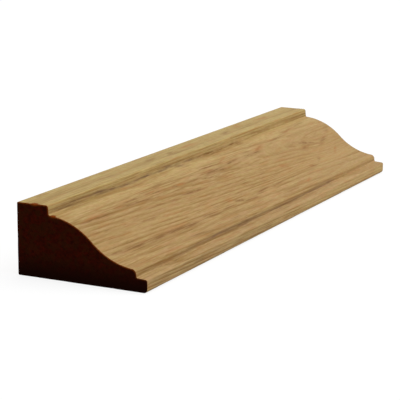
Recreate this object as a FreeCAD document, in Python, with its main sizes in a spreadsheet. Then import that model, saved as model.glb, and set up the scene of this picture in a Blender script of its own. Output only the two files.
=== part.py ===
"""Panel moulding: one short length of hardwood, run to an ogee section and sawn square at both ends.

The piece lies on its flat back. X runs along the length, Y across the width and Z through the
thickness. The thick edge is at +Y and the thin front edge at -Y. The origin is the middle of the back.

From the thick edge the face has a flat top land, a square step down (the upper quirk), an ogee that is
convex and then concave, a second step (the front quirk) and a thin front land. All sizes are in
millimetres, and the riser draft is in degrees.
"""
import FreeCAD, Part
import math
import os

import Sketcher

SIZES = (
    ("length", 152.4, "sawn length, six inches"),
    ("width", 34.925, "across the back, one and three eighths inches"),
    ("thickness", 17.8, "height of the thick edge, eleven sixteenths of an inch and a little over"),
    ("top_land", 8.5, "width of the flat beside the thick edge"),
    ("top_quirk", 2.35, "drop from the top land to the head of the ogee"),
    ("ogee_radius", 18.0, "radius of the convex and of the concave half of the ogee"),
    ("front_quirk", 1.9, "drop from the foot of the ogee to the front land"),
    ("front_land", 2.8, "width of the flat beside the front edge"),
    ("front_fall", 0.2, "how far the front land falls towards the front edge"),
    ("front_edge", 3.14, "height of the thin front edge"),
    ("riser_draft", 6.0, "lean of both risers, which lets the cutter clear them"),
    ("nosing_radius", 0.6, "eased corner of the top land"),
    ("lip_radius", 1.2, "eased corner at the foot of the ogee"),
    ("root_radius", 0.3, "inner corner of both quirks, left by the cutter's tip"),
    ("front_radius", 0.4, "eased upper corner of the front edge"),
    ("heel_radius", 0.9, "rounded lower corner of the front edge"),
    ("back_radius", 0.3, "eased corners of the thick edge"),
)
ON_THE_LINE = 1e-4  # how near an edge has to lie to the corner it is found by
EASED_SHARE = 0.01  # the most of the volume that all the eased corners together may take or add


def make_sheet(doc):
    """Returns the spreadsheet that holds every driving dimension, each in a cell with its own alias."""
    sheet = doc.addObject("Spreadsheet::Sheet", "Sizes")
    for row, (alias, value, note) in enumerate(SIZES, start=1):
        sheet.set(f"A{row}", alias)
        sheet.set(f"B{row}", str(value))
        sheet.setAlias(f"B{row}", alias)
        sheet.set(f"C{row}", note)
    doc.recompute()
    return sheet


def section_corners(sheet):
    """Returns the sharp corners of the section as (Y, Z) points, by name."""
    half = sheet.width / 2
    lean = math.tan(math.radians(sheet.riser_draft))
    land_root = sheet.front_edge + sheet.front_fall
    front_riser = -half + sheet.front_land
    return {
        "back_heel": (half, 0.0),
        "back_crown": (half, sheet.thickness),
        "nosing": (half - sheet.top_land, sheet.thickness),
        "top_root": (half - sheet.top_land - sheet.top_quirk * lean, sheet.thickness - sheet.top_quirk),
        "lip": (front_riser + sheet.front_quirk * lean, land_root + sheet.front_quirk),
        "front_root": (front_riser, land_root),
        "front_crown": (-half, sheet.front_edge),
        "front_heel": (-half, 0.0),
    }


def ogee_arcs(head, foot, radius):
    """Returns the convex and the concave arc of the ogee, which meet in the middle of its chord.

    Each arc spans half of the chord from head to foot. Their centres lie on opposite sides of the
    chord, so the second arc is the first one turned half round, and the two run into each other.
    """
    across = FreeCAD.Vector(head[0] - foot[0], head[1] - foot[1], 0)
    chord_angle = math.atan2(across.y, across.x)
    half_span = math.asin(across.Length / 4 / radius)
    upward = FreeCAD.Vector(-across.y, across.x, 0).normalize()
    reach = radius * math.cos(half_span)
    quarter = FreeCAD.Vector(across) / 4
    middle = FreeCAD.Vector((head[0] + foot[0]) / 2, (head[1] + foot[1]) / 2, 0)
    axis = FreeCAD.Vector(0, 0, 1)
    crest = Part.Circle(middle + quarter - upward * reach, axis, radius)
    hollow = Part.Circle(middle - quarter + upward * reach, axis, radius)
    crest_mid = chord_angle + math.pi / 2
    hollow_mid = chord_angle - math.pi / 2
    return (
        Part.ArcOfCircle(crest, crest_mid - half_span, crest_mid + half_span),
        Part.ArcOfCircle(hollow, hollow_mid - half_span, hollow_mid + half_span),
    )


def draw_section(body, sheet):
    """Returns the sketch of the whole section, on the plane across the length."""
    sketch = body.newObject("Sketcher::SketchObject", "Section")
    across_plane = next(o for o in body.Origin.OriginFeatures if o.Role == "YZ_Plane")
    sketch.AttachmentSupport = [(across_plane, "")]
    sketch.MapMode = "FlatFace"
    corner = {name: FreeCAD.Vector(y, z, 0) for name, (y, z) in section_corners(sheet).items()}
    crest_arc, hollow_arc = ogee_arcs(corner["top_root"], corner["lip"], sheet.ogee_radius)

    back = sketch.addGeometry(Part.LineSegment(corner["front_heel"], corner["back_heel"]))
    thick_edge = sketch.addGeometry(Part.LineSegment(corner["back_heel"], corner["back_crown"]))
    top_land = sketch.addGeometry(Part.LineSegment(corner["back_crown"], corner["nosing"]))
    top_riser = sketch.addGeometry(Part.LineSegment(corner["nosing"], corner["top_root"]))
    crest = sketch.addGeometry(crest_arc)
    hollow = sketch.addGeometry(hollow_arc)
    front_riser = sketch.addGeometry(Part.LineSegment(corner["lip"], corner["front_root"]))
    front_land = sketch.addGeometry(Part.LineSegment(corner["front_root"], corner["front_crown"]))
    front_edge = sketch.addGeometry(Part.LineSegment(corner["front_crown"], corner["front_heel"]))

    start, end, level_axis, upright_axis = 1, 2, -1, -2
    joins = (
        (back, end, thick_edge, start),
        (thick_edge, end, top_land, start),
        (top_land, end, top_riser, start),
        (top_riser, end, crest, start),
        (crest, end, hollow, end),
        (hollow, start, front_riser, start),
        (front_riser, end, front_land, start),
        (front_land, end, front_edge, start),
        (front_edge, end, back, start),
    )
    for join in joins:
        sketch.addConstraint(Sketcher.Constraint("Coincident", *join))
    sketch.addConstraint(Sketcher.Constraint("PointOnObject", back, start, level_axis))
    sketch.addConstraint(Sketcher.Constraint("Symmetric", back, start, back, end, upright_axis))
    sketch.addConstraint(Sketcher.Constraint("Vertical", thick_edge))
    sketch.addConstraint(Sketcher.Constraint("Horizontal", top_land))
    sketch.addConstraint(Sketcher.Constraint("Vertical", front_edge))
    sketch.addConstraint(Sketcher.Constraint("Equal", crest, hollow))
    sketch.addConstraint(Sketcher.Constraint("Symmetric", crest, start, hollow, start, crest, end))

    lean = "tan(Sizes.riser_draft * 1 deg)"
    measures = (
        ("DistanceX", (back, start, back, end), "Sizes.width"),
        ("DistanceY", (thick_edge, start, thick_edge, end), "Sizes.thickness"),
        ("DistanceX", (top_land, end, top_land, start), "Sizes.top_land"),
        ("DistanceY", (top_riser, end, top_riser, start), "Sizes.top_quirk"),
        ("DistanceX", (top_riser, end, top_riser, start), f"Sizes.top_quirk * {lean}"),
        ("Radius", (crest,), "Sizes.ogee_radius"),
        ("DistanceY", (front_riser, end, front_riser, start), "Sizes.front_quirk"),
        ("DistanceX", (front_riser, end, front_riser, start), f"Sizes.front_quirk * {lean}"),
        ("DistanceX", (front_land, end, front_land, start), "Sizes.front_land"),
        ("DistanceY", (front_land, end, front_land, start), "Sizes.front_fall"),
        ("DistanceY", (front_edge, end, front_edge, start), "Sizes.front_edge"),
    )
    for kind, where, formula in measures:
        drawn = drawn_size(sketch, kind, where)
        index = sketch.addConstraint(Sketcher.Constraint(kind, *where, drawn))
        sketch.setExpression(f"Constraints[{index}]", formula)
    return sketch


def drawn_size(sketch, kind, where):
    """Returns what a dimension measures on the sketch as it is drawn, before it is bound to the sheet."""
    if kind == "Radius":
        return sketch.Geometry[where[0]].Radius
    first, last = sketch.getPoint(where[0], where[1]), sketch.getPoint(where[2], where[3])
    return last.x - first.x if kind == "DistanceX" else last.y - first.y


def long_edge(feature, place):
    """Returns the name of the edge that runs along the whole length through a (Y, Z) corner of the section."""
    for number, edge in enumerate(feature.Shape.Edges, start=1):
        ends = [v.Point for v in edge.Vertexes]
        if len(ends) == 2 and all(math.hypot(p.y - place[0], p.z - place[1]) < ON_THE_LINE for p in ends):
            return f"Edge{number}"
    raise ValueError(f"{feature.Name} has no long edge at {place}")


def ease(doc, body, base, sheet, label, radius_alias, corner_names):
    """Adds a fillet along the named corners of the section and returns it."""
    corner = section_corners(sheet)
    fillet = body.newObject("PartDesign::Fillet", label)
    fillet.Base = (base, [long_edge(base, corner[name]) for name in corner_names])
    fillet.setExpression("Radius", f"Sizes.{radius_alias}")
    doc.recompute()
    return fillet


def make_moulding(doc, sheet):
    """Returns the body of the moulding: its section padded along the length, then its corners eased."""
    body = doc.addObject("PartDesign::Body", "Moulding")
    body.Label = "panel_moulding"
    section = draw_section(body, sheet)
    doc.recompute()

    run = body.newObject("PartDesign::Pad", "Run")
    run.Profile = section
    run.SideType = "Symmetric"
    run.setExpression("Length", "Sizes.length")
    doc.recompute()

    eased = ease(doc, body, run, sheet, "Nosing", "nosing_radius", ["nosing"])
    eased = ease(doc, body, eased, sheet, "Lip", "lip_radius", ["lip"])
    eased = ease(doc, body, eased, sheet, "QuirkRoots", "root_radius", ["top_root", "front_root"])
    eased = ease(doc, body, eased, sheet, "FrontArris", "front_radius", ["front_crown"])
    eased = ease(doc, body, eased, sheet, "FrontHeel", "heel_radius", ["front_heel"])
    eased = ease(doc, body, eased, sheet, "BackArrises", "back_radius", ["back_crown", "back_heel"])
    body.Tip = eased
    doc.recompute()
    return body


def check(doc, body):
    """Stops the build unless every object recomputed and the body is one sound solid inside its section."""
    for item in doc.Objects:
        if "Invalid" in item.State or "Error" in item.State:
            raise RuntimeError(f"{item.Name} failed: {item.State}")
    section = doc.getObject("Section")
    if section.solve() != 0 or not section.FullyConstrained:
        raise RuntimeError("the section isn't fully constrained")
    shape = body.Shape
    if shape.isNull() or not shape.isValid() or len(shape.Solids) != 1:
        raise RuntimeError("the moulding isn't one valid solid")
    sharp = doc.getObject("Run").Shape.Volume
    if abs(shape.Volume / sharp - 1) > EASED_SHARE:
        raise RuntimeError("easing the corners changed the volume by more than they hold")


def main():
    doc = FreeCAD.newDocument("PanelMoulding")
    sheet = make_sheet(doc)
    moulding = make_moulding(doc, sheet)
    check(doc, moulding)
    os.makedirs("parts", exist_ok=True)
    moulding.Shape.exportStep(f"parts/{moulding.Label}.step")
    box = moulding.Shape.BoundBox
    print(f"{moulding.Label}: {box.XLength:.2f} x {box.YLength:.2f} x {box.ZLength:.2f} mm, "
          f"{moulding.Shape.Volume / 1000:.2f} cm3, {len(moulding.Shape.Faces)} faces")


main()
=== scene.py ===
"""Looks of a short sample of oak panel moulding that lies on its flat back on a pale floor.

The stick stands for the plain solid of the frame. It has the same section and length, in a mesh fine
enough for the eased corners, the ridges of the growth layers and two small chips at a sawn end. It is bare
oak, whose figure comes from the layers that the tree grew and from streaks in them, and its ends have a
dark brown sealer brushed on. Lengths are in millimetres until a mesh, a lamp or the camera takes them.
"""
import logging
import math
from dataclasses import dataclass, field
from enum import Enum

import bpy
import numpy as np
from mathutils import Matrix, Vector


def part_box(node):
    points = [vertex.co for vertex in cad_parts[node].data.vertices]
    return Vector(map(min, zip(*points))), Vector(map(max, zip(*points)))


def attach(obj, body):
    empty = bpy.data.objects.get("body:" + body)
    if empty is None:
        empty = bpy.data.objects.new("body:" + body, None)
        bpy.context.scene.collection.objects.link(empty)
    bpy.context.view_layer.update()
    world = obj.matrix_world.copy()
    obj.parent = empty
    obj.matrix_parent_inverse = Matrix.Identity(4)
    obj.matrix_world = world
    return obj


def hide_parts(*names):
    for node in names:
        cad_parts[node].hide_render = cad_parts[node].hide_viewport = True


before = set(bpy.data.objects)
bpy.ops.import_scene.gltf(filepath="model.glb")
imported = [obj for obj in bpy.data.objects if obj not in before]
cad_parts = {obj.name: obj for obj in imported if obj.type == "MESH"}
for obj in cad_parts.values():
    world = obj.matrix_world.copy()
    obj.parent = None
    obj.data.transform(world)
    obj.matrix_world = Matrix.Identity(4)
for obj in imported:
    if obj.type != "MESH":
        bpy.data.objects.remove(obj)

log = logging.getLogger("moulding")

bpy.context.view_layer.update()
MM = 0.001  # one millimetre in the scene's metres
NODE = "panel_moulding"
HAIR = 1e-6  # a length that is too short to matter
CORNER_POINTS = 40  # points that a rounded corner of the section is worked out with
RING_SCALE = 2 * math.pi / 20  # scale at which a wave node puts one ring in each unit
FIRST, SECOND, MIXED = 6, 7, 2  # places of the colours that a mix node takes in, and of its result
SOFT = {"interpolation_type": "SMOOTHSTEP"}  # a range that sets in and ends softly

Tree = bpy.types.NodeTree
Socket = bpy.types.NodeSocket


class End(Enum):
    """The two sawn ends, by the side of the X axis that they are on."""

    NEAR = -1
    FAR = 1


class Tint(Enum):
    """What colours a streak in the wood or a band of painted shade, which is also the name of its field in
    the mesh.
    """

    BROWN = "brown"  # rows of open pores, and painted shade where they run along the quirks' risers and the front edge's heel
    DARK = "dark"  # darker streaks, and painted shade along both quirks' risers and on the front edge towards the near end
    RED = "red"  # a reddish stain
    PALE = "pale"  # wood with hardly any pores, which lightens it


def linear(code: str) -> tuple[float, float, float, float]:
    """Turns an sRGB hex colour into linear light.

    Each channel c becomes c / 12.92 where it is dark, and ((c + 0.055) / 1.055) to the power 2.4 elsewhere.

    Args:
        code: the colour, as "#rrggbb".

    Returns:
        The linear red, green and blue, and an alpha of 1.
    """
    srgb = np.array([int(code[i:i + 2], 16) for i in (1, 3, 5)]) / 255
    light = np.where(srgb <= 0.04045, srgb / 12.92, ((srgb + 0.055) / 1.055) ** 2.4)
    return (*map(float, light), 1.0)


def rise(values: np.ndarray, low: float, high: float) -> np.ndarray:
    """Returns 3t² - 2t³ for the share t of the way from low to high, so a soft step from 0 to 1."""
    t = np.clip((values - low) / (high - low), 0, 1)
    return t * t * (3 - 2 * t)


def add_node(
    tree: Tree, kind: str, inputs: dict | None = None, out: int | str = 0, **settings: str | bool
) -> Socket | None:
    """Adds one node with its settings, its values and its links.

    Args:
        tree: the node tree that takes it.
        kind: the node's type, without the "ShaderNode" before it.
        inputs: for an input's name or place, the value it holds or the output that feeds it.
        out: the name or place of the output that is wanted.
        **settings: the node's own properties.

    Returns:
        The wanted output, or None where the node has none.
    """
    node = tree.nodes.new(f"ShaderNode{kind}")
    for name, value in settings.items():
        setattr(node, name, value)
    for key, value in (inputs or {}).items():
        if isinstance(value, Socket):
            tree.links.new(value, node.inputs[key])
        else:
            node.inputs[key].default_value = value
    return node.outputs[out] if node.outputs else None


def set_stops(socket: Socket, stops: tuple[tuple[float, str], ...]) -> None:
    """Gives a colour ramp its stops.

    Args:
        socket: an output of the ramp.
        stops: place and hex colour of each stop, in order.
    """
    ramp = socket.node.color_ramp
    while len(ramp.elements) < len(stops):
        ramp.elements.new(1.0)
    for element, (place, code) in zip(ramp.elements, stops):
        element.position = place
        element.color = linear(code)


def blank(name: str) -> tuple[bpy.types.Material, Tree]:
    """Returns a new material and its empty node tree."""
    material = bpy.data.materials.new(name)
    material.use_nodes = True
    material.node_tree.nodes.clear()
    return material, material.node_tree


@dataclass(frozen=True)
class Blots:
    """A random pattern, mostly between 0.25 and 0.75, whose blots have a given size in millimetres."""

    size: tuple[float, float, float]  # length, breadth and thickness
    detail: float = 2.0  # how many times finer blots are laid over them
    rough: float = 0.5  # how strong each finer layer is beside the one before it

    def add(self, tree: Tree, place: Socket) -> Socket:
        """Adds the pattern on the coordinates of a place, divided by the size of a blot."""
        shrink = tuple(1 / side for side in self.size)
        scaled = add_node(tree, "VectorMath", {0: place, 1: shrink}, operation="MULTIPLY")
        return add_node(tree, "TexNoise", {
            "Vector": scaled, "Scale": 1.0, "Detail": self.detail, "Roughness": self.rough})


@dataclass(frozen=True)
class Span:
    """A stretch of values from low to high, and the first and last of the values that it turns into."""

    low: float
    high: float
    first: float = 0.0
    last: float = 1.0

    def of(self, value: Socket) -> dict[str, float | Socket]:
        """Returns what a range node takes in, to turn a value so."""
        return {"Value": value, "From Min": self.low, "From Max": self.high,
                "To Min": self.first, "To Max": self.last}


@dataclass(frozen=True)
class Finish:
    """What the finishes have in common: coats of colour on a dull surface with a fine relief."""

    relief: float = 0.05  # its depth
    relief_share: float = 0.5  # how strongly it shows
    roughness: float = 0.7
    gloss: float = 0.1

    @staticmethod
    def place(tree: Tree) -> Socket:
        """Adds the place on the object, in millimetres."""
        metres = add_node(tree, "TexCoord", out="Object")
        return add_node(tree, "VectorMath", {0: metres, "Scale": 1 / MM}, operation="SCALE")

    def cover(
        self, tree: Tree, colour: Socket | tuple, coats: list[tuple[Socket, str]], relief: Socket
    ) -> None:
        """Lays the coats over the ground, each by its share, and closes the material.

        Args:
            tree: the material's nodes.
            colour: the ground.
            coats: the share and the hex colour of each coat, from the lowest to the highest.
            relief: the height of the relief.
        """
        for share, code in coats:
            colour = add_node(tree, "Mix", {0: share, FIRST: colour, SECOND: linear(code)}, out=MIXED,
                              data_type="RGBA")
        bump = add_node(tree, "Bump", {
            "Height": relief, "Strength": self.relief_share, "Distance": self.relief * MM})
        shader = add_node(tree, "BsdfPrincipled", {
            "Base Color": colour, "Roughness": self.roughness, "Normal": bump,
            "Specular IOR Level": self.gloss})
        add_node(tree, "OutputMaterial", {"Surface": shader})


@dataclass
class Section:
    """The section that the moulding was run to: Y across the width, Z up from the back."""

    width: float
    thickness: float
    top_land: float = 8.5
    top_quirk: float = 2.35
    ogee_radius: float = 18.0
    front_quirk: float = 1.9
    front_land: float = 2.8
    front_fall: float = 0.2
    front_edge: float = 3.14
    riser_draft: float = 6.0
    nosing_radius: float = 0.6
    lip_radius: float = 1.2
    root_radius: float = 0.3
    front_radius: float = 0.4
    heel_radius: float = 0.9
    back_radius: float = 0.3
    fine: float = 0.02  # spacing of the points that the outline is worked out with

    def line(self, start: np.ndarray, end: np.ndarray) -> np.ndarray:
        """Returns evenly spaced points on the straight line from start to end."""
        count = max(2, round(float(np.hypot(*(end - start))) / self.fine))
        return start + np.linspace(0, 1, count)[:, None] * (end - start)

    def arc(self, centre: np.ndarray, start: float, end: float) -> np.ndarray:
        """Returns points of the ogee's arc, centre + radius * (cos a, sin a) for a from start to end."""
        count = round(abs(end - start) * self.ogee_radius / self.fine)
        angle = np.linspace(start, end, count)
        return centre + self.ogee_radius * np.stack([np.cos(angle), np.sin(angle)], axis=1)

    @staticmethod
    def ease(before: np.ndarray, after: np.ndarray, radius: float) -> np.ndarray:
        """Joins two runs of points with a round corner.

        The runs turn by an angle t where they meet. Each is cut back by radius * tan(t / 2), and a cubic
        curve with handles of 4/3 * tan(t / 4) * radius, along the runs, closes the gap. That curve is an
        arc of the radius to within a hair, and it leaves and meets curved runs without a kink.

        Args:
            before: the points of the first run, which ends at the corner.
            after: the points of the second run, which starts at the corner.
            radius: the radius of the corner.

        Returns:
            The points of both runs with the corner between them.
        """
        corner = after[0]
        way_in = (before[-1] - before[-2]) / np.linalg.norm(before[-1] - before[-2])
        way_out = (after[1] - after[0]) / np.linalg.norm(after[1] - after[0])
        turn = math.acos(float(np.clip(way_in @ way_out, -1, 1)))
        reach = radius * math.tan(turn / 2)
        first = before[np.linalg.norm(before - corner, axis=1) > reach]
        last = after[np.linalg.norm(after - corner, axis=1) > reach]
        handle = 4 / 3 * math.tan(turn / 4) * radius
        leave = (first[-1] - first[-2]) / np.linalg.norm(first[-1] - first[-2])
        meet = (last[1] - last[0]) / np.linalg.norm(last[1] - last[0])
        knots = [first[-1], first[-1] + leave * handle, last[0] - meet * handle, last[0]]
        t = np.linspace(0, 1, CORNER_POINTS)[1:-1, None]
        weights = [(1 - t) ** 3, 3 * (1 - t) ** 2 * t, 3 * (1 - t) * t ** 2, t ** 3]
        return np.concatenate([first, sum(w * k for w, k in zip(weights, knots)), last])

    def trim(self, path: np.ndarray) -> np.ndarray:
        """Returns the path without the stretches that run straight up either edge."""
        inside = np.flatnonzero(np.abs(path[:, 0]) < self.width / 2 - HAIR)
        return path[inside[0] - 1:inside[-1] + 2]

    def face(self) -> np.ndarray:
        """Returns the path of the moulded face, from the front edge over to the thick edge."""
        half = self.width / 2
        lean = math.tan(math.radians(self.riser_draft))
        land_root = self.front_edge + self.front_fall
        riser = self.front_land - half
        corners = np.array([
            (-half, self.front_edge - 2 * self.front_radius),
            (-half, self.front_edge),
            (riser, land_root),
            (riser + self.front_quirk * lean, land_root + self.front_quirk),
            (half - self.top_land - self.top_quirk * lean, self.thickness - self.top_quirk),
            (half - self.top_land, self.thickness),
            (half, self.thickness),
            (half, self.thickness - 2 * self.back_radius),
        ])
        painted_low_shade, head = corners[3], corners[4]
        chord = head - painted_low_shade
        tilt = math.atan2(chord[1], chord[0])
        span = math.asin(float(np.hypot(*chord)) / 4 / self.ogee_radius)
        upward = np.array([-math.sin(tilt), math.cos(tilt)]) * self.ogee_radius * math.cos(span)
        hollow_centre = (painted_low_shade + head) / 2 - chord / 4 + upward
        crest_centre = (painted_low_shade + head) / 2 + chord / 4 - upward
        hollow = self.arc(hollow_centre, tilt - math.pi / 2 - span, tilt - math.pi / 2 + span)
        crest = self.arc(crest_centre, tilt + math.pi / 2 + span, tilt + math.pi / 2 - span)
        ogee = np.concatenate([hollow, crest[1:]])

        path = self.line(corners[0], corners[1])
        path = self.ease(path, self.line(corners[1], corners[2]), self.front_radius)
        path = self.ease(path, self.line(corners[2], corners[3]), self.root_radius)
        path = self.ease(path, ogee, self.lip_radius)
        path = self.ease(path, self.line(corners[4], corners[5]), self.root_radius)
        path = self.ease(path, self.line(corners[5], corners[6]), self.nosing_radius)
        path = self.ease(path, self.line(corners[6], corners[7]), self.back_radius)
        return self.trim(path)

    def back(self) -> np.ndarray:
        """Returns the path of the flat back, from the front edge across to the thick edge."""
        half = self.width / 2
        corners = np.array([
            (-half, 2 * self.heel_radius),
            (-half, 0.0),
            (half, 0.0),
            (half, 2 * self.back_radius),
        ])
        path = self.line(corners[0], corners[1])
        path = self.ease(path, self.line(corners[1], corners[2]), self.heel_radius)
        path = self.ease(path, self.line(corners[2], corners[3]), self.back_radius)
        return self.trim(path)

    def columns(self, step: float, turn_step: float) -> tuple[np.ndarray, np.ndarray]:
        """Cuts the section into upright columns, close together where the face bends.

        Each column takes its share of the sum of length / step and turning / turn_step along the face.

        Args:
            step: the spacing along a straight stretch.
            turn_step: the turning between two columns on a bend, in degrees.

        Returns:
            The upper and the lower end of each column, as rows of (Y, Z).
        """
        face, back = self.face(), self.back()
        legs = np.diff(face, axis=0)
        lengths = np.linalg.norm(legs, axis=1)
        heading = np.unwrap(np.arctan2(legs[:, 1], legs[:, 0]))
        turning = np.abs(np.diff(heading, prepend=heading[0]))
        cost = np.concatenate([[0], np.cumsum(lengths / step + turning / math.radians(turn_step))])
        wanted = np.linspace(0, cost[-1], math.ceil(cost[-1]) + 1)
        upper = np.stack([np.interp(wanted, cost, face[:, i]) for i in (0, 1)], axis=1)
        lower = np.stack([upper[:, 0], np.interp(upper[:, 0], back[:, 0], back[:, 1])], axis=1)
        return upper, lower


@dataclass(frozen=True)
class Streak:
    """A streak along the grain, which fades out at both ends. Most are streaks in the wood; some are bands
    of painted shade.

    It is given by X and by the level, which is the height in the layers before they fall and twist.
    """

    first: float  # the X where it starts
    low: float  # its level there
    last: float  # the X where it stops
    high: float
    breadth: float  # from its middle to where it has faded, across the layers
    strength: float
    fade_share: float = 1 / 3  # how much of its length it takes to set in
    most_fade: float = 5.0  # the most that it takes
    run_on: float = 0.2  # how far its line runs on past either end, as a share of its length

    def strength_at(self, x: np.ndarray, level: np.ndarray) -> np.ndarray:
        """Returns the streak's strength: a soft step in at either end times a bell across the layers."""
        length = self.last - self.first
        fade = min(self.most_fade, length * self.fade_share)
        set_in = rise(x, self.first - fade, self.first + fade)
        die_out = rise(-x, -self.last - fade, fade - self.last)
        share = np.clip((x - self.first) / length, -self.run_on, 1 + self.run_on)
        across = (level - self.low - (self.high - self.low) * share) / self.breadth
        return self.strength * set_in * die_out * np.exp(-across ** 2)


@dataclass(frozen=True)
class Warp:
    """A part of the width where the layers fall steadily along the length, from some X on."""

    slope: float  # fall for each millimetre of length, and less than 0 for a rise
    start: float  # the X where it sets in
    middle: float  # the Y where it is strongest
    reach: float  # how far across it has faded
    ease: float = 8.0  # how softly it sets in

    def fall_at(self, x: np.ndarray, y: np.ndarray) -> np.ndarray:
        """Returns slope * ease * ln(1 + exp((x - start) / ease)) times a flat bell, exp(-u^4), across."""
        set_in = self.ease * np.log1p(np.exp((x - self.start) / self.ease))
        return self.slope * set_in * np.exp(-((y - self.middle) / self.reach) ** 4)


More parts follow.
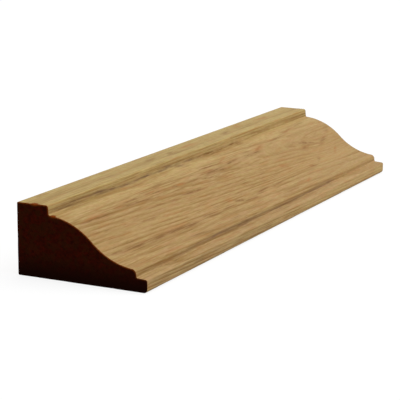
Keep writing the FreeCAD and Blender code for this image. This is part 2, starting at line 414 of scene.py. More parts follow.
# X and level where each streak starts and where it stops, its breadth and its strength
STREAKS: dict[Tint, tuple[tuple[float, ...], ...]] = {
    # Rows at levels from about 3.1 to 4.3, and from 16.2 to 17.8 with X from 2 on, lie on the two quirks'
    # risers: there they paint shade as well as streaks. The two rows at level about 0 paint shade along the
    # front edge's rounded heel.
    Tint.BROWN: (
        (2, 16.5, 18, 16.34, 0.41, 0.96), (20, 16.53, 27, 16.23, 0.41, 0.96),
        (34, 17.53, 48, 16.85, 0.4, 0.38), (56, 17.76, 72, 17.38, 0.4, 0.24),
        (-76, 3.55, -58, 3.23, 0.5, 0.44), (24, 4.27, 40, 3.6, 0.3, 0.39),
        (42, 3.51, 76, 3.14, 0.5, 0.19), (-40, 15.97, -33, 15.96, 0.07, 0.51),
        (-31, 16.05, -20, 15.98, 0.07, 0.64), (-72, 13.69, -60, 13.49, 0.21, 0.98),
        (-54, 13.69, -47, 13.53, 0.16, 1), (-47, 13.48, -40, 13.22, 0.14, 1),
        (-51, 14.29, -43, 14.09, 0.12, 1), (-34, 14.83, -29, 14.9, 0.12, 0.52),
        (-21, 13.49, -9, 13.31, 0.16, 0.61), (-10, 13.73, -1, 13.51, 0.29, 0.94),
        (-12, 12.97, -5, 12.49, 0.15, 1), (-8, 14.66, 3, 14.52, 0.11, 1),
        (2, 13.71, 12, 13.95, 0.15, 1), (-1, 13.29, 3, 13.06, 0.17, 1),
        (16, 13.81, 26, 13.81, 0.26, 0.97), (25, 14.05, 31, 14.79, 0.16, 0.24),
        (17, 14.6, 23, 14.49, 0.13, 0.56), (37, 14.73, 50, 15.15, 0.2, 0.52),
        (59, 15.57, 68, 15.71, 0.15, 0.48), (-28, 11.69, -17, 11.28, 0.2, 0.99),
        (-47, 11.7, -30, 11.15, 0.17, 0.47), (-53, 9.87, -45, 9.65, 0.22, 0.58),
        (60, 10.17, 67, 11.26, 0.43, 0.5), (46, 12.8, 57, 11.1, 0.26, 0.72),
        (50, 7.06, 53, 7.57, 0.33, 0.45), (-75, 7.11, -69, 6.78, 0.18, 0.58),
        (-69, 6.73, -51, 6.16, 0.23, 0.62), (-52, 6.43, -36, 6.11, 0.29, 0.58),
        (-72, 6.89, -33, 5.87, 0.36, 0.3), (-38, 6.28, -31, 5.87, 0.17, 0.55),
        (-27, 6.11, -19, 5.79, 0.14, 0.97), (-31, 6.58, -22, 6.33, 0.12, 0.8),
        (-18, 6.13, -11, 6.06, 0.11, 1), (-9, 6.58, -5, 6.11, 0.21, 1),
        (-5, 5.94, 2, 5.78, 0.16, 0.67), (4, 6.28, 11, 6.45, 0.14, 1),
        (14, 6.25, 20, 6.34, 0.15, 0.96), (43, 6.6, 47, 6.19, 0.23, 0.5),
        (-44, 4.9, -37, 4.77, 0.07, 0.7), (-21, 4.74, -17, 4.65, 0.05, 0.8),
        (15, 4.82, 22, 4.77, 0.09, 0.8), (-70, 19.57, -65, 19.65, 0.12, 0.44),
        (-47, 19.18, -38, 19.05, 0.08, 0.48), (-20, 19.21, -16, 19.26, 0.11, 0.6),
        (-9, 19.12, -5, 19.27, 0.13, 0.55), (25, 19.09, 30, 19.22, 0.15, 0.55),
        (35, 19.08, 45, 19.2, 0.08, 0.28), (-72, 16.11, -56, 16.1, 0.12, 0.35),
        (70, 12.31, 74, 13.25, 0.47, 0.4), (48, 10.47, 54, 11.17, 0.57, 0.35),
        (50, 15.26, 57, 15.57, 0.13, 0.45), (35, -0.05, 76, -0.06, 0.35, 0.4),
        (-22, -0.04, 10, -0.1, 0.35, 0.3), (30, 11.5, 76, 11, 4, 0.12),
    ),
    # painted shade: bands along the upper and the front quirk's riser, and a broad band on the front edge
    # that darkens it towards the near end; the coat breaks them into streaks
    Tint.DARK: (
        (-76, 17.01, -62, 16.75, 0.45, 0.49), (-70, 17.72, -60, 17.36, 0.3, 0.58),
        (-60, 17.76, -49, 17.12, 0.4, 0.77), (-51, 16.91, -34, 16.59, 0.35, 0.85),
        (-32, 16.89, -19, 16.56, 0.3, 1), (-19, 17.27, -9, 16.26, 0.4, 0.99),
        (-10, 16.99, 0, 16.4, 0.4, 0.63), (-58, 3.53, -38, 3.45, 0.5, 0.3),
        (-38, 3.65, -15, 3.06, 0.5, 0.72), (-15, 3.35, 8, 2.91, 0.5, 0.5),
        (8, 3.21, 26, 2.87, 0.5, 0.55), (26, 3.17, 42, 3.01, 0.5, 0.72),
        (-76, 0.82, -6, 0.64, 1.1, 0.26),
    ),
    Tint.RED: (
        (-54, 6.97, -38, 6.56, 0.25, 0.3), (-44, 16.12, -36, 16, 0.09, 0.44),
        (-70, 14.01, -61, 13.87, 0.18, 0.65), (-57, 13.96, -52, 13.78, 0.15, 1),
        (-41, 14.18, -36, 14.16, 0.12, 1), (-25, 13.57, -21, 13.49, 0.16, 1),
        (-11, 13.98, -4, 13.78, 0.18, 0.56), (4, 14.6, 9, 15.08, 0.12, 0.78),
        (24, 14.05, 33, 14.8, 0.23, 0.4), (50, 15.22, 57, 15.54, 0.14, 0.4),
        (-12, 7.11, -9, 6.94, 0.26, 0.62), (28, 9.17, 33, 7.97, 0.71, 0.42),
        (42, 6.6, 45, 6.46, 0.22, 0.6), (63, 7.09, 68, 8.5, 0.27, 0.48),
        (48, 10.98, 53, 10.53, 0.43, 0.29), (-59, 4.61, -52, 4.55, 0.13, 0.42),
        (29, 4.77, 34, 5.24, 0.14, 0.5), (-38, 2.6, -30, 2.47, 0.04, 0.37),
        (0, 19.29, 9, 19.27, 0.13, 0.53), (37, 19.38, 41, 19.53, 0.14, 0.56),
        (52, 19.26, 58, 19.35, 0.13, 0.58),
    ),
    Tint.PALE: (
        (-76, 10.3, -25, 9.6, 2, 0.4), (-25, 9.8, 25, 9.6, 2, 0.2),
        (25, 9.8, 76, 9.4, 2.2, 0.5), (-76, 19.3, 76, 19.3, 0.6, 0.4),
        (-76, 15.75, 76, 15.85, 0.7, 0.6), (14, 13.5, 54, 13.3, 0.9, 0.9),
        (50, 13.4, 76, 13.2, 0.5, 0.6), (47, 6.9, 74, 6.6, 1, 0.8),
        (-56, 5, 76, 4.7, 0.6, 0.3), (-76, 2.5, 10, 2.5, 0.5, 0.2),
        (10, 1.8, 76, 1.8, 2, 0.6),
    ),
}


@dataclass
class Growth:
    """The layers that the tree grew, where this stick was sawn out of it.

    The stick is flat sawn, so the layers lie nearly level. The lower ones fall slowly towards the far end,
    and fastest in the middle of the width, so there they come to lie along the face and open into an arch.
    A small dip near the far end turns some of them back on themselves. The upper ones stay level.
    """

    length: float
    pitch: float = 0.85  # thickness of one year's layer
    lean: float = 0.08  # rise of a layer for each millimetre towards the front edge
    bow: float = 250.0  # radius that the layers arch to, across the width
    fall: float = 0.022  # fall of a lower layer for each millimetre towards the far end
    phase: float = -0.4  # the year at level 0
    level_above: tuple[float, float] = (15.3, 17.3)  # the layers get level between these levels
    warps: tuple[Warp, ...] = (Warp(0.022, -76.0, -3.0, 4.2),)
    dip: float = 1.0  # depth of the dip
    dip_place: tuple[float, float] = (60.0, -2.0)  # X and Y of its middle
    dip_spread: tuple[float, float] = (13.0, 4.5)
    wave_count: int = 12
    wave_depth: float = 0.022
    wave_along: tuple[float, float] = (35.0, 130.0)  # shortest and longest, along the grain
    wave_across: tuple[float, float] = (10.0, 40.0)
    wave_share: tuple[float, float] = (0.3, 1.0)
    seed: int = 11
    streaks: dict[Tint, list[Streak]] = field(default_factory=lambda: {
        tint: [Streak(*row) for row in rows] for tint, rows in STREAKS.items()})

    def level(self, points: np.ndarray) -> np.ndarray:
        """Works out how high in the wood each point lies, before the layers fall and twist.

        It is z + lean * y + y² / (2 * bow) and a sum of slight sine waves, long along the grain.

        Args:
            points: rows of (X, Y, Z) in millimetres.

        Returns:
            The level of each point, in millimetres.
        """
        x, y, z = points.T
        level = z + self.lean * y + y * y / (2 * self.bow)
        draw = np.random.default_rng(self.seed)
        for _ in range(self.wave_count):
            along, across = draw.uniform(*self.wave_along), draw.uniform(*self.wave_across)
            phase, share = draw.uniform(0, 2 * math.pi), draw.uniform(*self.wave_share)
            sense = draw.choice([-1, 1])
            level = level + share * self.wave_depth * np.sin(
                2 * math.pi * (x / along + sense * y / across) + phase
            )
        return level

    def years(self, points: np.ndarray, level: np.ndarray) -> np.ndarray:
        """Works out which year's layer each point lies in.

        To the level come the steady fall, the warps and the dip, which is a bell in x and y. They die away
        upwards. The sum is divided by the thickness of a layer, and the year at level 0 comes to it.

        Args:
            points: rows of (X, Y, Z) in millimetres.
            level: the level of each point.

        Returns:
            The number of the layer that each point lies in, with its fraction.
        """
        x, y = points[:, 0], points[:, 1]
        bell = np.exp(
            -((x - self.dip_place[0]) / self.dip_spread[0]) ** 2
            - ((y - self.dip_place[1]) / self.dip_spread[1]) ** 2
        )
        fallen = self.fall * (x + self.length / 2) + sum(warp.fall_at(x, y) for warp in self.warps)
        loose = 1 - rise(level, *self.level_above)
        return (level + loose * (fallen + self.dip * bell)) / self.pitch + self.phase

    def streaked(self, x: np.ndarray, level: np.ndarray, tint: Tint) -> np.ndarray:
        """Returns how strong the streaks of one tint are at each point, together at most 1."""
        return np.minimum(sum(streak.strength_at(x, level) for streak in self.streaks[tint]), 1)


@dataclass(frozen=True)
class BareOak(Finish):
    """Oak, run by the moulder's cutters, sanded and left bare: dry, dull and honey brown.

    The grain shows as a darker line in each year's layer, where the spring wood is porous, and as long
    fine streaks of fibre with short open pores among them. Bare wood has a broad, weak sheen.
    """

    grounds: tuple[tuple[float, str], ...] = (  # the wood's own colour, by its height
        (0.0, "#ba9b65"), (0.08, "#ba9b65"),  # front edge
        (0.11, "#b0905e"), (0.14, "#b0905e"),  # front land
        (0.18, "#ab8b57"), (0.69, "#ab8b57"),  # foot of the ogee
        (0.80, "#b69961"), (0.88, "#b69961"),  # crest of the ogee
        (0.95, "#b0975b"),  # paler, yellower wood of the top land
    )
    headroom: float = 2.0  # how far past the thickness those heights reach
    seasons: tuple[tuple[float, str], ...] = (  # how porous each part of a year's layer is
        (0.0, "#ffffff"), (0.25, "#bcbcbc"), (0.55, "#000000"), (0.9, "#000000"), (1.0, "#ffffff"),
    )
    spring: str = "#886426"  # porous wood and fibres
    red: str = "#a86a30"
    # open pores, and painted shade along the quirks' risers and the front edge's heel
    brown: str = "#74480a"
    # the dark coat: darker streaks, and painted shade on the quirks' risers and the front edge's near part
    dark: str = "#694a34"
    pore: str = "#5e4414"
    stain: str = "#6a2c04"  # sealer that has run over the arris

    drifts: Blots = Blots((60.0, 7.0, 5.0))
    drift: Span = Span(0.3, 0.7, 0.97, 1.03)  # slow change of brightness
    specks: Blots = Blots((1.8, 0.8, 0.25), 1.0)
    bright: Span = Span(0.3, 0.7, 0.93, 1.07)  # flecks, whose darker ones are the stronger in colour
    vivid: Span = Span(0.3, 0.7, 1.03, 0.97)
    patches: Blots = Blots((4.0, 1.0, 0.5), 1.0)
    hue: Span = Span(0.3, 0.7, 0.492, 0.508)  # redder and yellower patches
    calm: Span = Span(15.0, 50.0, 1.0, 0.6)  # the fine figure weakens between these X
    growths: Blots = Blots((24.0, 3.0, 1.5))
    vigour: Span = Span(0.38, 0.62, 0.2)  # how much the growth lines show
    fibres: Blots = Blots((14.0, 0.5, 0.4), 3.0, 0.6)
    threads: Span = Span(0.44, 0.68, 0.0, 0.75)
    blushes: Blots = Blots((8.0, 1.1, 0.8))
    blush: Span = Span(0.48, 0.72, 0.0, 0.25)  # a faint red all over
    patchy: Span = Span(0.3, 0.6, 0.3)  # how a red streak is broken up
    rows: Blots = Blots((5.0, 0.4, 0.3))
    lined: Span = Span(0.4, 0.58, 0.35)  # how brown and dark streaks are broken up into lines
    red_pores: float = 0.3  # how brown a red streak is too
    dashes: Blots = Blots((6.0, 0.3, 0.3))
    dash: Span = Span(0.6, 0.7)  # single open pores
    porous: Span = Span(0.0, 1.0, 0.2, 0.6)  # how deep they are, by the season
    rags: Blots = Blots((1.5, 0.5, 0.5), 3.0)
    ragged: Span = Span(0.0, 1.0, -0.3, 0.3)  # how far the stain's edge wanders
    stained: Span = Span(0.28, 0.06, 0.0, 0.8)  # by the distance from the sawn end
    relief: float = 0.05  # fibres and pores
    relief_share: float = 0.4
    roughness: float = 0.62
    gloss: float = 0.18

    def ground(self, tree: Tree, grain: Socket, level: Socket, thickness: float) -> Socket:
        """Adds the wood's own colour.

        Args:
            tree: the material's nodes.
            grain: X, Y and the height in the layers, in millimetres.
            level: the height before the layers fall.
            thickness: the stick's thickness, which the change of colour is spread over.

        Returns:
            The colour, which drifts, is flecked and turns redder and yellower in patches.
        """
        depth = add_node(tree, "MapRange", {"Value": level, "From Max": thickness + self.headroom})
        colour = add_node(tree, "ValToRGB", {0: depth})
        set_stops(colour, self.grounds)
        drift = add_node(tree, "MapRange", self.drift.of(self.drifts.add(tree, grain)))
        speck = self.specks.add(tree, grain)
        bright = add_node(tree, "MapRange", self.bright.of(speck))
        bright = add_node(tree, "Math", {0: drift, 1: bright}, operation="MULTIPLY")
        vivid = add_node(tree, "MapRange", self.vivid.of(speck))
        hue = add_node(tree, "MapRange", self.hue.of(self.patches.add(tree, grain)))
        return add_node(tree, "HueSaturation", {
            "Hue": hue, "Saturation": vivid, "Value": bright, "Color": colour})

    def figure(
        self, tree: Tree, grain: Socket, x: Socket, read: dict[str, Socket]
    ) -> tuple[list[tuple[Socket, str]], Socket]:
        """Adds the patterns that say how much of each darker colour lies where.

        Args:
            tree: the material's nodes.
            grain: X, Y and the height in the layers, in millimetres.
            x: the place along the length.
            read: the fields of the mesh, by name.

        Returns:
            The share and the colour of each coat, in the order in which they lie over each other, and the
            height of the relief that fibres and pores leave.
        """
        figured = add_node(tree, "Math", {0: 1.0, 1: read["pale"]}, operation="SUBTRACT")
        fine = add_node(tree, "MapRange", self.calm.of(x))
        fine = add_node(tree, "Math", {0: fine, 1: figured}, operation="MULTIPLY")

        fraction = add_node(tree, "Math", {0: read["year"]}, operation="FRACT")
        season = add_node(tree, "ValToRGB", {0: fraction})
        set_stops(season, self.seasons)
        vigour = add_node(tree, "MapRange", self.vigour.of(self.growths.add(tree, grain)), **SOFT)
        spring = add_node(tree, "Math", {0: season, 1: vigour}, operation="MULTIPLY")
        spring = add_node(tree, "Math", {0: spring, 1: figured}, operation="MULTIPLY")

        fibre = self.fibres.add(tree, grain)
        threads = add_node(tree, "MapRange", self.threads.of(fibre), **SOFT)
        threads = add_node(tree, "Math", {0: threads, 1: fine}, operation="MULTIPLY")

        ruddy = self.blushes.add(tree, grain)
        blush = add_node(tree, "MapRange", self.blush.of(ruddy), **SOFT)
        patchy = add_node(tree, "MapRange", self.patchy.of(ruddy))
        blush = add_node(tree, "Math", {0: read["red"], 1: patchy, 2: blush},
                         operation="MULTIPLY_ADD", use_clamp=True)

        lined = add_node(tree, "MapRange", self.lined.of(self.rows.add(tree, grain)), **SOFT)
        # open pores, with painted shade where the brown streaks lie on the risers and the heel
        brown = add_node(tree, "Math", {0: read["red"], 1: self.red_pores, 2: read["brown"]},
                         operation="MULTIPLY_ADD", use_clamp=True)
        brown = add_node(tree, "Math", {0: brown, 1: lined}, operation="MULTIPLY")
        # painted shade on the risers and the near front edge, with darker streaks, broken up into lines
        dark = add_node(tree, "Math", {0: read["dark"], 1: lined}, operation="MULTIPLY")

        dash = add_node(tree, "MapRange", self.dash.of(self.dashes.add(tree, grain)), **SOFT)
        porous = add_node(tree, "MapRange", self.porous.of(season))
        porous = add_node(tree, "Math", {0: porous, 1: fine}, operation="MULTIPLY")
        pore = add_node(tree, "Math", {0: dash, 1: porous}, operation="MULTIPLY")
        relief = add_node(tree, "Math", {0: fibre, 1: pore}, operation="SUBTRACT")
        return [(spring, self.spring), (threads, self.spring), (blush, self.red), (brown, self.brown),
                (dark, self.dark), (pore, self.pore)], relief

    def dress(self, growth: Growth, thickness: float) -> bpy.types.Material:
        """Makes the material.

        Args:
            growth: the layers, whose pitch turns a layer's number back into millimetres.
            thickness: the stick's thickness.

        Returns:
            The material, which reads the fields that the mesh carries.
        """
        material, tree = blank("bare_oak")
        place = self.place(tree)
        fields = ["year", "level", "from_end", "chipped", *(tint.value for tint in Tint)]
        read = {name: add_node(tree, "Attribute", out="Fac", attribute_name=name) for name in fields}
        layer = add_node(tree, "Math", {0: read["year"], 1: growth.pitch}, operation="MULTIPLY")
        x, y, _ = add_node(tree, "SeparateXYZ", {0: place}).node.outputs
        grain = add_node(tree, "CombineXYZ", {"X": x, "Y": y, "Z": layer})
        colour = self.ground(tree, grain, read["level"], thickness)
        coats, relief = self.figure(tree, grain, x, read)

        ragged = add_node(tree, "MapRange", self.ragged.of(self.rags.add(tree, place)))
        edge = add_node(tree, "Math", {0: read["from_end"], 1: ragged}, operation="ADD")
        stained = add_node(tree, "MapRange", self.stained.of(edge), **SOFT)
        stained = add_node(tree, "Math", {0: read["chipped"], 1: stained},
                           operation="ADD", use_clamp=True)
        self.cover(tree, colour, [*coats, (stained, self.stain)], relief)
        return material


@dataclass(frozen=True)
class EndSealer(Finish):
    """Dark brown wax sealer, brushed on the end grain: nearly black, and reddish where it is thin.

    It soaks in and hardly shines. The saw's curved score lines show through it.
    """

    thick: str = "#210601"
    thin: str = "#3c0b01"
    dusty: str = "#2c1403"  # where saw dust is caught in it
    rim: str = "#74360c"  # a lighter reddish band along the moulded face's edge
    painted_low_shade: str = "#180501"  # painted shade along the lower edge, next to the floor
    chip: str = "#7e390c"  # where it has run into a chip

    mottles: Blots = Blots((0.9, 0.9, 0.7), 3.0, 0.6)
    mottle: Span = Span(0.3, 0.7)
    dusts: Blots = Blots((1.6, 1.6, 1.2))
    dust: Span = Span(0.42, 0.6, 0.0, 0.55)
    rags: Blots = Blots((1.5, 0.6, 0.6), 3.0)
    ragged: Span = Span(0.0, 1.0, -0.2, 0.2)  # how far the rim wanders
    bare: Span = Span(-0.4, -0.02)  # by the distance from the moulded face, less than 0
    low_shade_share: Span = Span(7.0, 0.3)  # painted shade, by the height
    relief: float = 0.04  # score lines and the mottle
    roughness: float = 0.8
    gloss: float = 0.02
    score_spacing: float = 0.9
    score_centre: tuple[float, float] = (-70.0, 110.0)  # Y and Z of the saw's axis
    score_waver: float = 0.6
    score_detail: float = 1.0  # how many times finer that wavers too

    def dress(self) -> bpy.types.Material:
        """Makes the material.

        Returns:
            The material, which reads the distance from the moulded face and the chips of the mesh.
        """
        material, tree = blank("end_sealer")
        place = self.place(tree)
        from_end = add_node(tree, "Attribute", out="Fac", attribute_name="from_end")
        chipped = add_node(tree, "Attribute", out="Fac", attribute_name="chipped")
        height = add_node(tree, "SeparateXYZ", {0: place}, out="Z")

        mottle = add_node(tree, "MapRange", self.mottle.of(self.mottles.add(tree, place)))
        dust = add_node(tree, "MapRange", self.dust.of(self.dusts.add(tree, place)), **SOFT)
        ragged = add_node(tree, "MapRange", self.ragged.of(self.rags.add(tree, place)))
        edge = add_node(tree, "Math", {0: from_end, 1: ragged}, operation="ADD")
        bare = add_node(tree, "MapRange", self.bare.of(edge), **SOFT)
        # painted shade: the sealed end darkens towards its lower edge
        low_shade_share = add_node(tree, "MapRange", self.low_shade_share.of(height), **SOFT)
        coats = [(mottle, self.thin), (dust, self.dusty), (bare, self.rim), (low_shade_share, self.painted_low_shade),
                 (chipped, self.chip)]

        offset = add_node(tree, "VectorMath", {0: place, 1: (0.0, *self.score_centre)},
                          operation="SUBTRACT")
        scores = add_node(tree, "TexWave", {
            "Vector": offset, "Scale": RING_SCALE / self.score_spacing,
            "Distortion": self.score_waver, "Detail": self.score_detail},
            out="Fac", wave_type="RINGS", rings_direction="X")
        relief = add_node(tree, "Math", {0: scores, 1: mottle}, operation="ADD")
        self.cover(tree, linear(self.thick), coats, relief)
        return material


@dataclass(frozen=True)
class Chip:
    """A splinter lost from the arris where the saw came through."""

    place: tuple[float, float]  # Y and Z
    spread: tuple[float, float, float]  # how far it reaches along X, Y and Z
    depth: float

    def bell(self, points: np.ndarray, end: float) -> np.ndarray:
        """Returns exp(-u²) for the distance u, in spreads, from the chip's middle at X = end."""
        away = (points - np.array([end, *self.place])) / np.array(self.spread)
        return np.exp(-(away ** 2).sum(-1))


@dataclass
class Moulding:
    """The stick of moulding: its mesh, and the finishes on it."""

    section: Section
    growth: Growth
    length: float
    step: float = 0.26  # spacing of the columns
    turn_step: float = 13.0  # degrees between two columns on a bend
    rows: int = 24  # faces in a column of a sawn end
    crowding: float = 1.6  # how much closer they lie under the face than at the back
    stations: int = 176  # rings of points along the length
    bunching: float = 0.85  # how much closer those lie at the ends
    arris: float = 0.1  # width that is broken off the edges of a sawn end
    ridge: float = 0.03  # how far the porous wood of a layer has shrunk below the rest
    sharp_above: float = 35.0  # degrees past which a bend is shaded as an edge
    chips: tuple[Chip, ...] = (
        Chip((12.6, 17.75), (1.1, 0.85, 0.35), 0.03),
        Chip((7.6, 15.45), (1.1, 0.65, 0.42), 0.03),
    )
    run_in: float = 0.35  # how far a face is chipped where the sealer has run in
    oak: BareOak = field(default_factory=BareOak)
    sealer: EndSealer = field(default_factory=EndSealer)

    def ring(self) -> tuple[np.ndarray, int]:
        """Works out the loop of points round the section.

        Returns:
            The points of the loop as rows of (Y, Z), over the face, down the thick edge, back along the
            back and up the front edge, and how many columns the section has.
        """
        upper, lower = self.section.columns(self.step, self.turn_step)
        share = self.heights()[1:-1, None]
        up = lower[0] + share * (upper[0] - lower[0])
        down = lower[-1] + share[::-1] * (upper[-1] - lower[-1])
        return np.concatenate([upper, down, lower[::-1], up]), len(upper)

    def heights(self) -> np.ndarray:
        """Returns the rows' shares of a column, 1 - (1 - t)^crowding, which lie closest under the face."""
        return 1 - (1 - np.linspace(0, 1, self.rows + 1)) ** self.crowding

    @staticmethod
    def outward(ring: np.ndarray) -> np.ndarray:
        """Returns the outward unit normal at each point of a loop, square to its neighbours' line."""
        along = np.roll(ring, -1, axis=0) - np.roll(ring, 1, axis=0)
        normal = np.stack([-along[:, 1], along[:, 0]], axis=1)
        return normal / np.linalg.norm(normal, axis=1, keepdims=True)

    def shell(self, ring: np.ndarray) -> np.ndarray:
        """Carries the loop along the length.

        The places along X are half * ((1 - b) * u + b * sin(pi * u / 2)) for u from -1 to 1, so they bunch
        towards both ends by the share b.

        Args:
            ring: the loop of points round the section.

        Returns:
            Points as an array of stations by loop by (X, Y, Z).
        """
        u = np.linspace(-1, 1, self.stations)
        x = (self.length / 2 - self.arris) * (
            (1 - self.bunching) * u + self.bunching * np.sin(math.pi * u / 2)
        )
        points = np.empty((len(x), len(ring), 3))
        points[..., 0] = x[:, None]
        points[..., 1:] = ring
        return points

    def cap(self, ring: np.ndarray, columns: int, end: End) -> np.ndarray:
        """Fills one sawn end with a grid that is set in from the outline by the width of the arris.

        Args:
            ring: the loop of points round the section.
            columns: how many of the points lie on the face.
            end: the end to fill.

        Returns:
            Points as an array of columns by rows by (X, Y, Z). The first row is the back.
        """
        inset = ring - self.arris * self.outward(ring)
        upper = inset[:columns]
        lower = inset[columns + self.rows - 1:2 * columns + self.rows - 1][::-1]
        share = self.heights()[None, :, None]
        points = np.empty((columns, self.rows + 1, 3))
        points[..., 0] = end.value * self.length / 2
        points[..., 1:] = lower[:, None] + share * (upper - lower)[:, None]
        return points

    def faces(self, columns: int, loop: int) -> np.ndarray:
        """Numbers the corners of every four-sided face.

        Args:
            columns: how many columns the section has.
            loop: how many points go round it.

        Returns:
            Rows of four vertex numbers: the shell's faces, then those of both arrises and both caps. The
            shell's vertices come first, then the near and the far cap.
        """
        here = np.arange(loop)
        following = np.roll(here, -1)
        first = np.arange(self.stations - 1)[:, None] * loop
        shell = np.stack([
            first + here, first + following, first + loop + following, first + loop + here], -1)

        grid = np.arange(columns * (self.rows + 1)).reshape(columns, self.rows + 1)
        cap = np.stack([grid[:-1, :-1], grid[1:, :-1], grid[1:, 1:], grid[:-1, 1:]], -1).reshape(-1, 4)
        border = np.concatenate([grid[:, -1], grid[-1, -2:0:-1], grid[::-1, 0], grid[0, 1:-1]])
        near = self.stations * loop
        far = near + grid.size
        near_arris = np.stack([near + border, near + np.roll(border, -1), following, here], -1)
        last = (self.stations - 1) * loop
        far_arris = np.stack([last + here, last + following, far + np.roll(border, -1), far + border], -1)
        return np.concatenate([
            shell.reshape(-1, 4),
            near_arris,
            far_arris,
            near + cap[:, ::-1],
            far + cap,
        ])

    def sink(self, shell: np.ndarray, ring: np.ndarray) -> None:
        """Sinks the porous spring wood of each layer below the rest, by up to the height of a ridge.

        The depth is ridge * (1 - 2f) for the fraction f of the year, and nothing from its middle on.

        Args:
            shell: the points of the shell, which are moved.
            ring: the loop of points round the section.
        """
        points = shell.reshape(-1, 3)
        years = self.growth.years(points, self.growth.level(points))
        sunk = self.ridge * np.clip(1 - 2 * np.mod(years, 1), 0, 1)
        shell[..., 1:] -= sunk.reshape(shell.shape[:2])[..., None] * self.outward(ring)

    def fields(
        self, points: np.ndarray, shell_count: int, caps: list[np.ndarray], face: np.ndarray
    ) -> dict[str, np.ndarray]:
        """Works out what the materials read at every vertex.

        Args:
            points: all the points of the mesh.
            shell_count: how many of them are the shell's.
            caps: the points of each cap.
            face: the points of the section's moulded side.

        Returns:
            By name: the year and the level of the wood, the strength of each tint of streak, how far the
            point is chipped, and its distance from the sawn end, or on a cap less than 0 by how far it is
            from the moulded face.
        """
        level = self.growth.level(points)
        depths = [np.sqrt(((cap[:, None, 1:] - face) ** 2).sum(-1)).min(1) for cap in caps]
        on_shell = self.length / 2 - np.abs(points[:shell_count, 0])
        found = {
            "year": self.growth.years(points, level),
            "level": level,
            "from_end": np.concatenate([on_shell, *(-depth for depth in depths)]),
            "chipped": sum(chip.bell(points, -self.length / 2) for chip in self.chips),
        }
        return found | {tint.value: self.growth.streaked(points[:, 0], level, tint) for tint in Tint}

    def build(self) -> bpy.types.Object:
        """Builds the mesh with its fields and both finishes.

        Returns:
            The object, at the origin.
        """
        ring, columns = self.ring()
        shell = self.shell(ring)
        self.sink(shell, ring)
        caps = [self.cap(ring, columns, end).reshape(-1, 3) for end in End]
        points = np.concatenate([shell.reshape(-1, 3), *caps])
        fields = self.fields(points, shell.shape[0] * shell.shape[1], caps, ring[:columns])
        inward = np.array([1, 0, -1]) / math.sqrt(2)  # from the near end's upper edge, along X and down
        for chip in self.chips:
            points = points + chip.depth * chip.bell(points, -self.length / 2)[:, None] * inward

        faces = self.faces(columns, len(ring))
        mesh = bpy.data.meshes.new("moulding")
        mesh.from_pydata(points * MM, [], faces)
        mesh.polygons.foreach_set("use_smooth", np.ones(len(faces), bool))
        sealed = np.arange(len(faces)) >= (self.stations - 1) * len(ring)
        sealed |= fields["chipped"][faces].mean(1) > self.run_in
        mesh.polygons.foreach_set("material_index", sealed.astype(np.int32))
        mesh.set_sharp_from_angle(angle=math.radians(self.sharp_above))
        for name, values in fields.items():
            field_data = mesh.attributes.new(name, "FLOAT", "POINT").data
            field_data.foreach_set("value", values.astype(np.float32))
        mesh.materials.append(self.oak.dress(self.growth, self.section.thickness))
        mesh.materials.append(self.sealer.dress())
        mesh.update()
        stick = bpy.data.objects.new("moulding", mesh)
        bpy.context.collection.objects.link(stick)
        log.info("moulding: %d columns, %d triangles", columns, 2 * len(faces))
        return stick


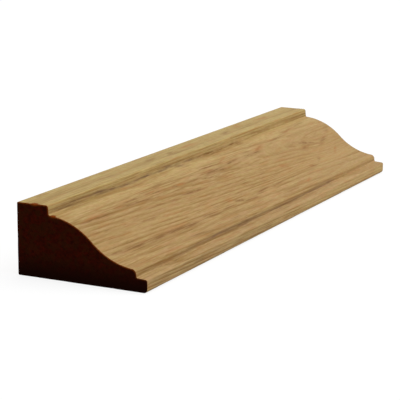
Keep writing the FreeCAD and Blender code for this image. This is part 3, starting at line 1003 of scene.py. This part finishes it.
@dataclass
class Studio:
    """A pale floor, soft light from above and the camera."""

    floor_reach: float = 4000.0
    floor_colour: str = "#c8c8c6"
    floor_white: float = 1.02  # the unshaded floor's brightness to the camera
    shadow_share: float = 0.2  # how much of that the lamps make
    sky: float = 0.6
    lamp_strength: float = 1.45
    lamp_spread: float = 70.0  # degrees
    lamp_towards: tuple[float, float, float] = (0.3, -0.28, 0.87)
    fill_power: float = 0.17  # watts
    fill_size: float = 120.0
    fill_place: tuple[float, float, float] = (220.0, -250.0, 80.0)
    fill_aim: tuple[float, float, float] = (30.0, -10.0, 8.0)
    focal_pixels: float = 1622.7  # the lens, in pixels of the picture
    picture: int = 400
    near_clip: float = 10.0
    eye: tuple[float, float, float] = (-389.22, -188.86, 103.54)
    yaw: float = 63.22  # degrees, as the next two are
    pitch: float = 12.87
    roll: float = 0.281

    def lay_floor(self) -> None:
        """Lays a large flat floor, white to the camera but for the object's soft shadow."""
        corners = np.array([(-1, -1, 0), (1, -1, 0), (1, 1, 0), (-1, 1, 0)]) * self.floor_reach * MM
        mesh = bpy.data.meshes.new("floor")
        mesh.from_pydata(corners, [], [(0, 1, 2, 3)])
        floor = bpy.data.objects.new("floor", mesh)
        bpy.context.collection.objects.link(floor)
        material, tree = blank("pale_floor")
        matt = add_node(tree, "BsdfDiffuse", {"Color": linear(self.floor_colour)})
        share = self.shadow_share
        shaded = add_node(tree, "BsdfDiffuse", {"Color": (share, share, share, 1)})
        glow = add_node(tree, "Emission", {"Strength": self.floor_white - share})
        white = add_node(tree, "AddShader", {0: shaded, 1: glow})
        seen = add_node(tree, "LightPath", out="Is Camera Ray")
        both = add_node(tree, "MixShader", {0: seen, 1: matt, 2: white})
        add_node(tree, "OutputMaterial", {"Surface": both})
        mesh.materials.append(material)

    def light(self) -> None:
        """Adds an even sky, a wide soft lamp from above and a weak one beside the far end."""
        world = bpy.data.worlds.new("studio")
        bpy.context.scene.world = world
        world.use_nodes = True
        tree = world.node_tree
        tree.nodes.clear()
        path = add_node(tree, "LightPath").node
        seen = add_node(tree, "Math", {
            0: path.outputs["Is Camera Ray"], 1: path.outputs["Is Glossy Ray"]}, operation="MAXIMUM")
        seen = add_node(tree, "Math", {
            0: seen, 1: path.outputs["Is Transmission Ray"]}, operation="MAXIMUM")
        strength = add_node(tree, "MapRange", {"Value": seen, "To Min": self.sky, "To Max": 1.0})
        sky = add_node(tree, "Background", {"Color": (1, 1, 1, 1), "Strength": strength})
        add_node(tree, "OutputWorld", {"Surface": sky})

        sun = bpy.data.lights.new("soft_lamp", "SUN")
        sun.energy = self.lamp_strength
        sun.angle = math.radians(self.lamp_spread)
        lamp = bpy.data.objects.new("soft_lamp", sun)
        lamp.rotation_euler = Vector(self.lamp_towards).to_track_quat("Z", "Y").to_euler()
        bpy.context.collection.objects.link(lamp)

        area = bpy.data.lights.new("fill_lamp", "AREA")
        area.energy = self.fill_power
        area.size = self.fill_size * MM
        fill = bpy.data.objects.new("fill_lamp", area)
        place, aim = Vector(self.fill_place) * MM, Vector(self.fill_aim) * MM
        fill.location = place
        fill.rotation_euler = (place - aim).to_track_quat("Z", "Y").to_euler()
        bpy.context.collection.objects.link(fill)

    def place_camera(self) -> None:
        """Sets the camera where the photograph was taken from."""
        data = bpy.data.cameras.new("camera")
        data.lens = data.sensor_width * self.focal_pixels / self.picture
        data.clip_start = self.near_clip * MM
        camera = bpy.data.objects.new("camera", data)
        yaw, pitch, roll = (math.radians(a) for a in (self.yaw, self.pitch, self.roll))
        forward = Vector((
            math.sin(yaw) * math.cos(pitch), math.cos(yaw) * math.cos(pitch), -math.sin(pitch)))
        level = Vector((math.cos(yaw), -math.sin(yaw), 0))
        above = level.cross(forward)
        right = math.cos(roll) * level + math.sin(roll) * above
        up = math.cos(roll) * above - math.sin(roll) * level
        turned = Matrix((right, up, -forward)).transposed().to_4x4()
        camera.matrix_world = Matrix.Translation(Vector(self.eye) * MM) @ turned
        bpy.context.collection.objects.link(camera)
        bpy.context.scene.camera = camera


def main() -> None:
    """Builds the moulding and the studio around it."""
    logging.basicConfig(level=logging.INFO, format="%(message)s")
    low, high = (np.array(corner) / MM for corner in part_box(NODE))
    length, width, thickness = (float(side) for side in high - low)
    moulding = Moulding(Section(width, thickness), Growth(length), length)
    stick = moulding.build()
    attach(stick, "root")
    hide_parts(NODE)

    studio = Studio()
    studio.lay_floor()
    studio.light()
    studio.place_camera()
    bpy.context.scene.view_settings.view_transform = "Standard"


if __name__ == "__main__":
    main()
